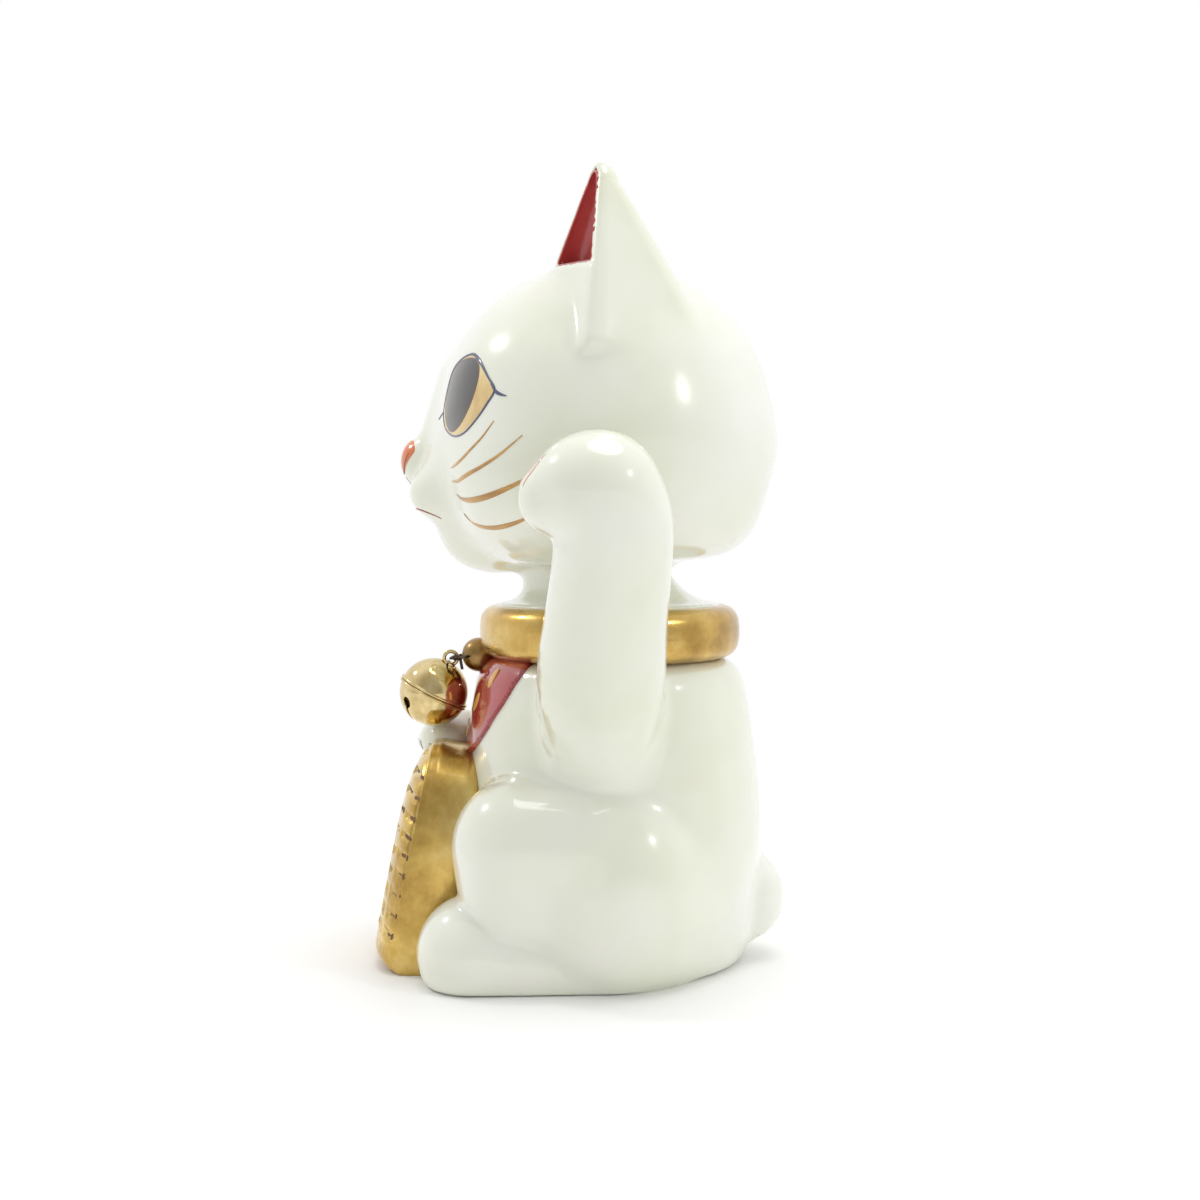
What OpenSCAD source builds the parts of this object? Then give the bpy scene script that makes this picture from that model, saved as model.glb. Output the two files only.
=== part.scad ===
// Beckoning cat figurine: a hollow glazed ceramic cat that sits upright with its
// left paw raised. Its right paw rests on a thick gold oval coin, and a small
// jingle bell hangs on a wire loop from a boss at the front of its collar.
//
// Frame: millimetres, +Z up. The cat faces -Y and its left side is +X. The origin
// is on the base plane, in the middle of the figure.

/* [Torso] */
// Largest radius of the round torso
torso_r = 34.3; // [33.5:0.1:35]
// Distance of the torso's upright axis behind the origin
torso_y = 2.2; // [1.5:0.1:3]
// Height at which the torso is widest
belly_z = 22; // [20:1:24]
// How much narrower the torso is at its foot
base_tuck = 4.6; // [3:0.1:5]
// How much narrower the torso is at the shoulders
chest_taper = 4.2; // [3.5:0.1:4.5]
// Height where the shoulders start to round over
shoulder_z = 64; // [63:0.5:65]
// Thickness of the cast ceramic wall
wall = 4; // [3:0.5:5]
// Radius of the drain hole that casting leaves in the base
drain_r = 6; // [4:0.5:8]

/* [Head] */
// Half width, half depth and half height of the skull
skull_r = [43, 40, 35.5]; // [30:0.1:50]
// Centre of the skull
skull_c = [0, 1.4, 126.3]; // [-10:0.1:140]
// Radius of the neck between head and collar
neck_r = 17; // [16:0.5:18]
// Radius of the neck where the collar covers it
neck_seat_r = 22.5; // [22:0.1:23]
// Height of the joint between the body casting and the head casting
seam_z = 76; // [75:0.5:77]

/* [Ears] */
// Tip of the left ear
ear_tip = [25.5, -0.3, 174.9]; // [-5:0.1:180]
// Radius of the rounded ear tip
ear_tip_r = 4.3; // [2:0.1:5]
// How far the ear's opening turns outward from straight ahead, in degrees
ear_turn = 24; // [15:1:30]

/* [Collar and bib] */
// Outer radius of the collar
collar_r = 30.2; // [29.8:0.1:30.6]
// Height of the collar's lower edge
collar_z = 70; // [69.8:0.1:70.2]
// Height of the collar band
collar_h = 12; // [11:0.1:12]
// Thickness of the raised bib
bib_t = 1.2; // [1:0.1:1.5]
// Height of the bib's lower tip
bib_tip_z = 47; // [46:0.5:48]

/* [Coin] */
// Half width and half height of the oval coin's outline
coin_r = [20.5, 31]; // [17:0.5:32]
// Thickness of the coin at its rim
coin_t = 11; // [9:0.5:12]
// How far the middle of the coin's face stands out from its rim
coin_dome = 6.3; // [4:0.1:7]
// Backward lean of the coin, in degrees
coin_lean = 11; // [9:1:13]
// Turn of the coin's face towards the cat's left, in degrees
coin_turn = 3; // [0:1:6]

/* [Bell] */
// Outer radius of the jingle bell
bell_r = 8; // [7.8:0.1:8.1]
// Thickness of the brass sheet
bell_sheet = 0.55; // [0.5:0.05:0.7]
// Backward tilt of the hanging bell, in degrees
bell_tilt = 26.7; // [24:0.1:29]
// Width of the sound slit
slit_w = 1.1; // [0.8:0.1:1.4]
// Radius of the round holes that end the slit
slit_hole_r = 1.4; // [1.2:0.1:1.6]
// Turn of the slit from straight ahead towards the cat's left, in degrees
slit_turn = 49; // [0:1:60]
// Radius of the steel pellet inside the bell
pellet_r = 2; // [1.6:0.1:2.2]

/* [Wire] */
// Radius of the boss on the collar
boss_r = 4; // [3.9:0.1:4.1]
// Radius of the wire
wire_r = 0.3; // [0.25:0.01:0.32]
// Radius of the hole through the boss
boss_hole_r = 0.4; // [0.38:0.01:0.45]
// Half width of the wire loop outside the boss
wire_wide = 4.5; // [4.4:0.1:4.8]

/* [Hidden] */

glaze = [0.91, 0.92, 0.87];
gold = [0.80, 0.62, 0.20];
red = [0.72, 0.12, 0.12];
brass = [0.85, 0.72, 0.38];
steel = [0.45, 0.42, 0.40];

fine = 96;       // facets round an exact solid of revolution
smooth = 36;     // facets round the large parts of a hulled shape
coarse = 24;     // facets round its small or hidden parts
gap = 0.08;      // glaze line left between parts that are luted together
over = 1;        // overrun of a cutting solid

shoulder_round = [7, 6.5];
boss_c = [0, -28.4, 70.2];
boss_hole_c = [0, -30.9, 70];
loop_c = [0, -35, 69.4];
loop_r = 1.55;
loop_wire_r = 0.45;
bell_axis = [0, sin(bell_tilt), cos(bell_tilt)];
bell_c = loop_c - (bell_r + 0.95) * bell_axis;
drain_y = 15;
neck_bore_r = 13;
coin_foot = [1, -46.9, 0];
coin_mid = 20.5;
coin_foot_r = 45;

// ---------------------------------------------------------------- helpers

// One ellipsoid, for use inside hull()
module ball(c, r, n = coarse) {
    translate(c) scale(r) sphere(r = 1, $fn = n);
}

// A smooth limb through balls given as [centre, radii]
module limb(balls) {
    for (i = [1 : len(balls) - 1]) {
        hull() {
            ball(balls[i - 1][0], balls[i - 1][1]);
            ball(balls[i][0], balls[i][1]);
        }
    }
}

// Everything below the base plane
module ground() {
    translate([0, 0, -50]) cube([200, 200, 100], center = true);
}

// ---------------------------------------------------------------- torso

// Radius of the torso at height z
function side_r(z) = z < belly_z
    ? torso_r - base_tuck * pow((belly_z - z) / belly_z, 3)
    : torso_r - chest_taper * pow((z - belly_z) / (shoulder_z - belly_z), 2);

// Half outline of the torso from z_low up over the shoulders, moved outward by grow
function torso_outline(grow, z_low) = concat(
    [for (i = [0 : 5]) let (z = z_low + (belly_z - z_low) * i / 6) [side_r(z) + grow, z]],
    [for (i = [0 : 6]) let (z = belly_z + (shoulder_z - belly_z) * i / 6) [side_r(z) + grow, z]],
    [for (a = [18 : 18 : 90]) [side_r(shoulder_z) + grow - shoulder_round.x * (1 - cos(a)),
                               shoulder_z + (shoulder_round.y + grow) * sin(a)]]);

module torso_form(grow = 0, z_low = 0, n = 64) {
    points = torso_outline(grow, z_low);
    translate([0, torso_y, 0]) rotate_extrude($fn = n)
        polygon(concat([[0, z_low]], points, [[0, points[len(points) - 1].y]]));
}

// Hollow cast body with a neck seat on top and a drain hole in its base
module body_shell() {
    color(glaze) difference() {
        union() {
            torso_form(n = fine);
            translate([0, torso_y, shoulder_z]) cylinder(r = neck_seat_r, h = seam_z - shoulder_z, $fn = fine);
        }
        torso_form(grow = -wall, z_low = wall, n = fine);
        translate([0, torso_y, shoulder_z - over])
            cylinder(r = neck_bore_r, h = seam_z - shoulder_z + 2 * over, $fn = fine);
        translate([0, drain_y, -over]) cylinder(r = drain_r, h = wall + 2 * over, $fn = fine);
    }
}

// ---------------------------------------------------------------- head

module skull_form(grow = 0, n = smooth) {
    g = [grow, grow, grow];
    hull() {
        ball(skull_c, skull_r - [2, 1.5, 0] + g, n);
        ball(skull_c - [0, -0.4, 9], skull_r - [0, 0, 9] + g, n);
        ball([0, -6, 104], [32, 30, 13.5] + g, n);
    }
}

// Muzzle: a broad cone with two whisker pads, the chin, the small nose and its bridge
module muzzle_form() {
    hull() {
        ball([0, -8, 111], [37, 28, 20]);
        ball([0, -32, 108], [13, 12, 10]);
    }
    for (side = [-1, 1]) {
        hull() {
            ball([side * 5.5, -34.5, 107.5], [7.5, 10.4, 7.2]);
            ball([side * 10, -26, 108], [12, 13, 11]);
        }
    }
    hull() {
        ball([0, -25, 99.5], [14, 12.5, 10.5]);
        ball([0, -10, 103], [28, 22, 13]);
    }
    hull() {
        ball([0, -42.6, 116.5], [4, 3.6, 3.4]);
        ball([0, -33, 117], [9, 9, 8]);
    }
    hull() {
        ball([0, -38.5, 118], [6, 5, 5]);
        ball([0, -29, 136], [10, 8, 9]);
    }
}

// Neck with the thin rim that lies on top of the collar
module neck_form(grow = 0) {
    rim_r = collar_r - 4.2 + grow;
    rim_z = collar_z + collar_h + gap;
    translate([0, torso_y, 0]) rotate_extrude($fn = 64) polygon(concat(
        [[0, seam_z], [neck_seat_r, seam_z], [neck_seat_r, rim_z], [rim_r, rim_z], [rim_r, rim_z + 1 + grow]],
        [for (a = [0 : 15 : 90]) [neck_r + grow + 7 * (1 - sin(a)), rim_z + 1 + grow + 6 * (1 - cos(a))]],
        [[neck_r + grow, 96], [0, 96]]));
}

module head_form(grow = 0) {
    skull_form(grow);
    muzzle_form();
}

module head_shell() {
    color(glaze) difference() {
        union() {
            head_form();
            neck_form();
        }
        skull_form(-wall, coarse);
        translate([0, torso_y, seam_z - over]) cylinder(r = neck_bore_r, h = 26, $fn = 32);
    }
}

// Left ear: a rounded three-sided cone that leans a little outward
module ear_form() {
    hull() {
        ball(ear_tip, [ear_tip_r, ear_tip_r, ear_tip_r]);
        ball([15, -6, 150], [4, 4, 6]);
        ball([35.5, 0, 140], [4.5, 4.5, 6]);
        ball([30, 13.6, 143], [7, 7, 6]);
        ball([19, 13, 149], [7, 7, 6]);
    }
}

// Scoop of the ear, a hollow behind its open front face
module ear_scoop() {
    turned = [cos(ear_turn), sin(ear_turn), 0];
    hull() {
        ball(ear_tip + [-0.8, -5.4, -3.2], [1.6, 3.4, 2]);
        ball([24, -5.5, 157.5] - 6 * turned, [2.6, 5, 2]);
        ball([24, -5.5, 155.5] + 6.5 * turned, [2.6, 5, 2]);
        ball([23.5, -12, 157] - 6.5 * turned, [3, 3, 2]);
        ball([23.5, -12, 155] + 7 * turned, [3, 3, 2]);
    }
}

module one_ear() {
    difference() {
        ear_form();
        ear_scoop();
        skull_form(gap);
        muzzle_form();
    }
}

module left_ear() {
    color(glaze) one_ear();
}

module right_ear() {
    color(glaze) mirror([1, 0, 0]) one_ear();
}

// ---------------------------------------------------------------- limbs

module raised_arm_form() {
    limb([
        [[24, 0.6, 46], [10, 10, 8]],
        [[28, 0.3, 57], [12.4, 12.6, 12]],
        [[32.5, 0.2, 68], [13.2, 13.7, 13]],
        [[37.5, 1.2, 80], [12.6, 12.9, 12.6]],
        [[42, 2.2, 90], [12.2, 12.4, 12.2]],
        [[46, 2.8, 100], [12, 12.6, 12]],
        [[49, 0.4, 107.6], [12, 12.6, 12.2]],
        [[48.6, -8, 108], [9.6, 9, 9]],
        [[48.4, -9, 105.6], [8.6, 7.8, 7.6]]]);
}

module raised_arm() {
    color(glaze) difference() {
        raised_arm_form();
        torso_form(gap);
        collar_blank(gap);
        translate([0, torso_y, collar_z]) cylinder(r = collar_r - 3.4, h = 20, $fn = 64);
        head_form(gap);
        leg_form();
    }
}

module resting_arm_form() {
    limb([
        [[-24, 0, 60], [13, 12.5, 11]],
        [[-31, -9, 47], [11, 11, 11]],
        [[-24, -24, 45.5], [9.5, 9.5, 9]],
        [[-15, -33, 48], [8.6, 8.4, 6.4]],
        [[-7.5, -36.5, 49.4], [8.2, 7.4, 5.6]]]);
}

module resting_arm() {
    color(glaze) difference() {
        resting_arm_form();
        torso_form(gap);
        collar_blank(gap);
        bib_blank(bib_t + gap);
        coin_form(gap);
        scale([-1, 1, 1]) leg_form();
    }
}

// Left leg: haunch at the side, raised knee, and a foot that points forward
module leg_form() {
    ball([25, 2.5, 21], [17, 20, 24.5], smooth);
    hull() {
        ball([25.5, -17, 30.4], [15.4, 15.4, 15.4]);
        ball([27, -3, 30.6], [14.4, 14.4, 14.4]);
    }
    hull() {
        ball([25.5, -18, 20], [13, 13.5, 12]);
        ball([25.5, -3, 20], [13.5, 14, 14]);
    }
    hull() {
        ball([25.5, -27.6, 7], [12.6, 12.6, 12.6]);
        ball([24, 2, 3], [11, 11, 11]);
    }
}

// Leg on one side: 1 is the cat's left, -1 its right
module one_leg(side) {
    difference() {
        scale([side, 1, 1]) leg_form();
        torso_form(gap);
        coin_form(gap);
        ground();
    }
}

module left_leg() {
    color(glaze) one_leg(1);
}

module right_leg() {
    color(glaze) one_leg(-1);
}

// Short round tail low on the back
module tail() {
    color(glaze) difference() {
        translate([3, 32, 13.6]) sphere(r = 11, $fn = fine);
        torso_form(n = fine);
    }
}

// ---------------------------------------------------------------- coin

// Superellipse outline of the coin, scaled by s. The lower half is drawn long, to be cut level
function coin_outline(s) = [for (a = [0 : 10 : 350])
    let (c = cos(a), k = sin(a), reach = k < 0 ? coin_foot_r : coin_r.y)
    [s * coin_r.x * sign(c) * pow(abs(c), 0.72), s * reach * sign(k) * pow(abs(k), 0.72)]];

// Depth in front of the rim and size of each slice, from the coin's back to its face
function coin_slices(grow) = [
    [-coin_t - grow, 0.93], [-coin_t + 2, 1], [-1, 1], [0, 0.985], [0.6, 0.95],
    [coin_dome * 0.57, 0.88], [coin_dome * 0.81, 0.72], [coin_dome * 0.95, 0.48], [coin_dome + grow, 0.2]];

module coin_slice(depth, size, grow) {
    translate([0, 0, depth]) linear_extrude(height = 0.01)
        polygon(coin_outline(size + grow / coin_r.x));
}

// Domed oval plate that leans back and is cut level where it stands
module coin_form(grow = 0) {
    slices = coin_slices(grow);
    difference() {
        translate(coin_foot) rotate([90 - coin_lean, 0, coin_turn]) translate([0, coin_mid, 0])
            for (i = [1 : len(slices) - 1]) {
                hull() {
                    coin_slice(slices[i - 1].x, slices[i - 1].y, grow);
                    coin_slice(slices[i].x, slices[i].y, grow);
                }
            }
        ground();
    }
}

module koban() {
    color(gold) difference() {
        coin_form();
        torso_form(gap);
        bib_blank(bib_t + gap);
    }
}

// ---------------------------------------------------------------- collar, bib and boss

// Solid disc with the collar's rounded edge
module collar_blank(grow = 0, n = 64) {
    corner = 3.6;
    translate([0, torso_y, collar_z - grow]) rotate_extrude($fn = n) {
        square([collar_r - corner, collar_h + 2 * grow]);
        translate([collar_r - corner, corner]) circle(r = corner + grow, $fn = 32);
        translate([collar_r - corner, collar_h - corner + 2 * grow]) circle(r = corner + grow, $fn = 32);
        translate([0, corner]) square([collar_r + grow, collar_h - 2 * corner + 2 * grow]);
    }
}

module collar() {
    color(gold) difference() {
        collar_blank(n = fine);
        torso_form(n = fine);
        translate([0, torso_y, collar_z - over])
            cylinder(r = neck_seat_r + gap, h = collar_h + 2 * over, $fn = fine);
    }
}

// One side of the bib's outline, from the collar down to its tip
bib_side = [[22, collar_z], [22.4, 67], [20.8, 61.4], [17.7, 56], [14.4, 51.8], [9.5, 48.6], [4, bib_tip_z]];

// Bib shape: a layer of the given thickness over the chest, cut to a rounded outline
module bib_blank(thick) {
    intersection() {
        torso_form(grow = thick, n = fine);
        rotate([90, 0, 0]) linear_extrude(height = 60)
            polygon(concat(bib_side, [for (i = [len(bib_side) - 1 : -1 : 0]) [-bib_side[i].x, bib_side[i].y]]));
    }
}

module bib() {
    color(red) difference() {
        bib_blank(bib_t);
        torso_form(n = fine);
        collar_blank(n = fine);
        translate(boss_c) sphere(r = boss_r, $fn = fine);
    }
}

// Round boss on the collar, drilled from side to side for the wire
module bell_boss() {
    color(gold) difference() {
        translate(boss_c) sphere(r = boss_r, $fn = fine);
        collar_blank(n = fine);
        torso_form(n = fine);
        translate(boss_hole_c) rotate([0, 90, 0]) cylinder(r = boss_hole_r, h = 4 * boss_r, center = true, $fn = 48);
    }
}

// ---------------------------------------------------------------- wire

// Straight piece of wire with round ends
module wire_piece(a, b, r = wire_r) {
    d = b - a;
    translate(a) rotate([0, acos(d.z / norm(d)), atan2(d.y, d.x)]) cylinder(r = r, h = norm(d), $fn = 32);
    translate(a) sphere(r = r, $fn = 32);
    translate(b) sphere(r = r, $fn = 32);
}

// Closed loop through the boss and through the bell's own loop, with a twisted end
module bell_wire() {
    narrow = 1.6;
    wide = [wire_wide, 0, 0];
    tight = [narrow, 0, 0];
    knot = [3.4, -32.5, 69.77];
    color(steel) union() {
        wire_piece(boss_hole_c - wide, boss_hole_c + wide);
        wire_piece(boss_hole_c + wide, loop_c + tight);
        wire_piece(loop_c + tight, loop_c - tight);
        wire_piece(loop_c - tight, boss_hole_c - wide);
        wire_piece(knot, knot + [0.4, 0.4, -2.5], 0.42);
    }
}

// ---------------------------------------------------------------- bell

// Places its children in the bell's own frame: centre at 0, hanging axis along +Z
module bell_place() {
    translate(bell_c) rotate([-bell_tilt, 0, 0]) children();
}

// Half of the hollow ball: dir 1 is the upper half, -1 the lower
module half_ball(dir) {
    difference() {
        sphere(r = bell_r, $fn = fine);
        sphere(r = bell_r - bell_sheet, $fn = fine);
        translate([0, 0, -dir * 2 * bell_r]) cube(4 * bell_r, center = true);
    }
}

module bell_upper_shell() {
    seam_out = 0.45;
    seam_half = 0.35;
    color(brass) bell_place() union() {
        half_ball(1);
        difference() {
            cylinder(r = bell_r + seam_out, h = seam_half, $fn = fine);
            translate([0, 0, -over]) cylinder(r = bell_r - bell_sheet / 2, h = 3 * over, $fn = fine);
        }
    }
}

module bell_lower_shell() {
    hole_drop = 33;
    color(brass) bell_place() difference() {
        half_ball(-1);
        rotate([0, 0, slit_turn]) {
            translate([0, 0, -bell_r]) cube([slit_w, 2 * bell_r * cos(hole_drop), bell_r * 0.95], center = true);
            for (turn = [0, 180]) {
                rotate([0, 0, turn]) rotate([90 + hole_drop, 0, 0])
                    translate([0, 0, bell_r / 2]) cylinder(r = slit_hole_r, h = bell_r, $fn = 48);
            }
        }
    }
}

// Ring brazed on top of the bell, its hole lying from side to side
module bell_loop() {
    color(brass) difference() {
        translate(loop_c) rotate([0, 90, 0]) rotate_extrude($fn = 64)
            translate([loop_r, 0]) circle(r = loop_wire_r, $fn = 32);
        translate(bell_c) sphere(r = bell_r, $fn = fine);
    }
}

// Loose steel ball, lying at the lowest point inside the bell
module bell_pellet() {
    clear = 0.15;
    color(steel) translate(bell_c - [0, 0, bell_r - bell_sheet - pellet_r - clear])
        sphere(r = pellet_r, $fn = 48);
}

// ---------------------------------------------------------------- assembly

body_shell();
head_shell();
left_ear();
right_ear();
raised_arm();
resting_arm();
left_leg();
right_leg();
tail();
koban();
collar();
bib();
bell_boss();
bell_wire();
bell_upper_shell();
bell_lower_shell();
bell_loop();
bell_pellet();
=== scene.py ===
"""Looks, lights and camera for the beckoning cat figurine.

The glazed ceramic is one smooth surface, so it is worked out first as a signed
distance field in millimetres, from balls and tapered limbs that are placed by the
CAD boxes. The field is polygonised once, cut along the lines where the castings
meet, and each cut is given a wall, so every ceramic part is a closed shell of its
own and the glaze runs over the joints without a step. Coin, collar, bib, wire and
bell are meshes of their own, and the painted details are thin raised enamel that
is laid on the glaze.
"""
import math

import bmesh
import bpy
import numpy as np
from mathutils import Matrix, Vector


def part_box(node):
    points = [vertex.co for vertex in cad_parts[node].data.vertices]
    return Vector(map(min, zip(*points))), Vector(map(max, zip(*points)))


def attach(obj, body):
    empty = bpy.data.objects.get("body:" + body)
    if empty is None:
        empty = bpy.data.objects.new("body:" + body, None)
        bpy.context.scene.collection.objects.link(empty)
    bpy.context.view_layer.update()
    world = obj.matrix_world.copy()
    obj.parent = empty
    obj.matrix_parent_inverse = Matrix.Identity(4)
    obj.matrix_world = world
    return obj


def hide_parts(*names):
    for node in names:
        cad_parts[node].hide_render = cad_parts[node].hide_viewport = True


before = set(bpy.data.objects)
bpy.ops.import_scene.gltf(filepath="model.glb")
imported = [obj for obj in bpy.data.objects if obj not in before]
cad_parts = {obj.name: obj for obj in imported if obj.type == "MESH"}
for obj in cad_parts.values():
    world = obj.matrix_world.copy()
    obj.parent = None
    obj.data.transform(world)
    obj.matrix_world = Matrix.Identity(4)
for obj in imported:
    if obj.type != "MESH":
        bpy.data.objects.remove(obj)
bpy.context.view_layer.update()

import openvdb
from mathutils import Vector

MM = 0.001
cat = "figurine"


# ---------------- numbers from the frame

def box_mm(node):
    """Lowest and highest corner of a CAD node, in millimetres."""
    low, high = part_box(node)
    return np.array(low) / MM, np.array(high) / MM


def vec(*values):
    return np.array(values, float)


def unit(vectors):
    return vectors / np.maximum(np.linalg.norm(vectors, axis=-1, keepdims=True), 1e-9)


head_low, head_high = box_mm("head_shell")
body_low, body_high = box_mm("body_shell")
ear_low, ear_high = box_mm("left_ear")
arm_low, arm_high = box_mm("raised_arm")
rest_low, rest_high = box_mm("resting_arm")
leg_low, leg_high = box_mm("left_leg")
tail_low, tail_high = box_mm("tail")
coin_low, coin_high = box_mm("koban")
collar_low, collar_high = box_mm("collar")
boss_low, boss_high = box_mm("bell_boss")
bib_foot = box_mm("bib")[0][2]
loop_high = box_mm("bell_loop")[1]

axis_y = (body_low[1] + body_high[1]) / 2
torso_r = (body_high[0] - body_low[0]) / 2
shoulder_z = body_high[2] - 12
# Middle of the skull, of the raised paw and of the tip of the left ear, and where its open face looks
skull = vec(0, head_high[1] - 40, head_high[2] - 35.5)
paw = vec(arm_high[0] - 12, axis_y - 1.8, arm_high[2] - 12.2)
ear_tip = vec(25.6, axis_y - 2.3, ear_high[2] - 5.7)
ear_facing = vec(0.402, -0.894, 0.197)


# ---------------- distance fields

def ellipsoid(p, centre, radii):
    """Nearly the distance from points p to an ellipsoid."""
    q = p - centre
    k0 = np.sqrt(((q / radii) ** 2).sum(1))
    k1 = np.sqrt(((q / np.square(radii)) ** 2).sum(1))
    return k0 * (k0 - 1) / np.maximum(k1, 1e-6)


def limb(p, a, b, ra, rb):
    """Distance to a limb that tapers from a ball ra at a to a ball rb at b."""
    ab = b - a
    length = ab @ ab
    slope = ra - rb
    square = length - slope * slope
    pa = p - a
    y = pa @ ab
    z = y - length
    x2 = ((pa * length - np.outer(y, ab)) ** 2).sum(1)
    y2 = y * y * length
    z2 = z * z * length
    k = math.copysign(1, slope) * slope * slope * x2
    side = (np.sqrt(x2 * square / length) + y * slope) / length - ra
    end_b = np.sqrt(x2 + z2) / length - rb
    end_a = np.sqrt(x2 + y2) / length - ra
    out = np.where(np.sign(z) * square * z2 > k, end_b, side)
    return np.where(np.sign(y) * square * y2 < k, end_a, out)


def smin(a, b, k):
    """The nearer of two surfaces, blended over a width k."""
    h = np.clip(0.5 + 0.5 * (b - a) / k, 0, 1)
    return b + (a - b) * h - k * h * (1 - h)


def smax(a, b, k):
    return -smin(-a, -b, k)


def blend_all(fields, k):
    out = fields[0]
    for field in fields[1:]:
        out = smin(out, field, k)
    return out


def spline(knots, per, closed=False):
    """Smooth curve through knots, as an array with per points for each knot."""
    knots = np.array(knots, float)
    count = len(knots)
    rows = []
    for i in range(count if closed else count - 1):
        near = [(i - 1) % count, i, (i + 1) % count, (i + 2) % count] if closed else [
            max(i - 1, 0), i, i + 1, min(i + 2, count - 1)]
        a, b, c, d = knots[near]
        for j in range(per):
            t = j / per
            rows.append(0.5 * (2 * b + (c - a) * t + (2 * a - 5 * b + 4 * c - d) * t * t
                               + (3 * b - a - 3 * c + d) * t ** 3))
    if not closed:
        rows.append(knots[-1])
    return np.array(rows)


def tube(p, sockets, per=4):
    """Distance to a limb that follows a smooth curve through sockets (x, y, z, radius)."""
    path = spline(sockets, per)
    out = limb(p, path[0, :3], path[1, :3], path[0, 3], path[1, 3])
    for a, b in zip(path[1:], path[2:]):
        out = smin(out, limb(p, a[:3], b[:3], a[3], b[3]), 0.4)
    return out


def within(low, high, field, margin=9.0):
    """The same field, worked out only near its own box."""
    def near(p):
        away = np.linalg.norm(np.maximum(np.maximum(low - p, p - high), 0), axis=1)
        out = away + 3
        close = away < margin
        if close.any():
            out[close] = field(p[close])
        return out
    return near


def mirrored(p):
    return p * vec(-1, 1, 1)


def skull_field(p):
    """Skull, wider low down, with a full cheek on each side."""
    ball = ellipsoid(p, skull + vec(0, -0.5, 0), vec(42, 38.1, 34.3))
    jaw = ellipsoid(p, skull + vec(0, 0.4, -8.2), vec(42.6, 38.8, 26.6))
    base = ellipsoid(p, skull + vec(0, 2.8, -18.6), vec(35, 32.6, 16.5))
    q = p - skull
    ring = np.hypot(np.hypot(q[:, 0], q[:, 1]) - 24.3, q[:, 2] + 22.7) - 9.5
    out = blend_all([ball, jaw, base, ring], 4.6)
    for side in (-1, 1):
        cheek = ellipsoid(p, skull + vec(side * 19, -15, -17), vec(19, 17, 15))
        out = smin(out, cheek, 8)
    return out


def muzzle_field(p):
    """Bridge of the nose, whisker pads and chin."""
    out = limb(p, skull + vec(0, -24, -13), skull + vec(0, -33, -14.5), 17, 10.5)
    for side in (-1, 1):
        pad = ellipsoid(p, skull + vec(side * 6.2, -34.6, -18.2), vec(8.6, 10.6, 7.4))
        out = smin(out, pad, 4)
    chin = ellipsoid(p, skull + vec(0, -26.5, -26.5), vec(12.5, 12.5, 10))
    out = smin(out, chin, 4.5)
    bridge = limb(p, skull + vec(0, -32.8, 7), skull + vec(0, -37.9, -5.5), 5, 5.2)
    return smin(out, bridge, 3)


def nose_field(p):
    return ellipsoid(p, skull + vec(0, -43.2, -10.9), vec(5, 4.7, 5.6))


def neck_field(p):
    """Neck with a fillet down to a thin rim on top of the collar."""
    q = p - vec(0, axis_y, 0)
    rise = np.clip((q[:, 2] - collar_high[2]) / 7.5, 0, 1)
    column = np.hypot(q[:, 0], q[:, 1] + 3.2 * rise) - 17.2
    rim = smax(np.hypot(q[:, 0], q[:, 1]) - 25.6, q[:, 2] - (collar_high[2] + 0.5), 1)
    ends = np.maximum(q[:, 2] - (skull[2] - 25), (collar_low[2] + 4) - q[:, 2])
    return np.maximum(smin(column * 0.9, rim, 9), ends)


def face_field(p):
    face = smin(skull_field(p), muzzle_field(p), 7)
    return smin(face, nose_field(p), 2.6)


def ear_shell(p):
    """Left ear before it is opened: a rounded three-sided cone."""
    span = ear_tip[2] - (skull[2] + 13.7)
    t = np.clip((ear_tip[2] - p[:, 2]) / span, -0.2, 1.4)
    radius = 4.5 + 5.7 * t - 1.5 * t * t
    corners = []
    for step in ((-11.5, -11.7), (7.1, -2.1), (-1.9, 15.6)):
        corners.append(ear_tip[:2] + np.outer(np.maximum(t, 0), vec(*step)))
    outside = np.full(len(p), 1e9)
    inside = np.full(len(p), -1e9)
    for a, b in zip(corners, corners[1:] + corners[:1]):
        ab = b - a
        pa = p[:, :2] - a
        size = np.maximum((ab ** 2).sum(1), 1e-6)
        h = np.clip((pa * ab).sum(1) / size, 0, 1)
        outside = np.minimum(outside, np.linalg.norm(pa - ab * h[:, None], axis=1))
        inside = np.maximum(inside, (pa[:, 0] * ab[:, 1] - pa[:, 1] * ab[:, 0]) / np.sqrt(size))
    flat = np.where(inside < 0, inside, outside)
    cone = smax(flat - radius, p[:, 2] - (ear_tip[2] + 5), 6)
    return smax(cone * 0.85, (skull[2] + 9.5) - p[:, 2], 4)


def ear_front(p):
    """How far points are in front of the plane of the ear's open face."""
    return p @ ear_facing - (ear_tip @ ear_facing + 2.2)


def ear_lip(p):
    """Height above the lip at the foot of the ear's open face."""
    return p[:, 2] - (ear_tip[2] - 17.1) + 0.11 * (p[:, 0] - ear_tip[0])


def ear_hollow(p):
    """Scooped hollow of the ear, with walls that thin towards the tip."""
    wall = 0.9 + 0.6 * np.clip((ear_tip[2] + 4 - p[:, 2]) / 10, 0, 1)
    return smax(smax(ear_shell(p) + wall, -ear_front(p) - 6.5, 2.5), -ear_lip(p) + 0.3, 1)


def ear_scoop(p):
    """Everything that opening the ear takes away."""
    return smin(ear_hollow(p), smax(-ear_front(p), -ear_lip(p), 0.6), 0.5)


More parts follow.
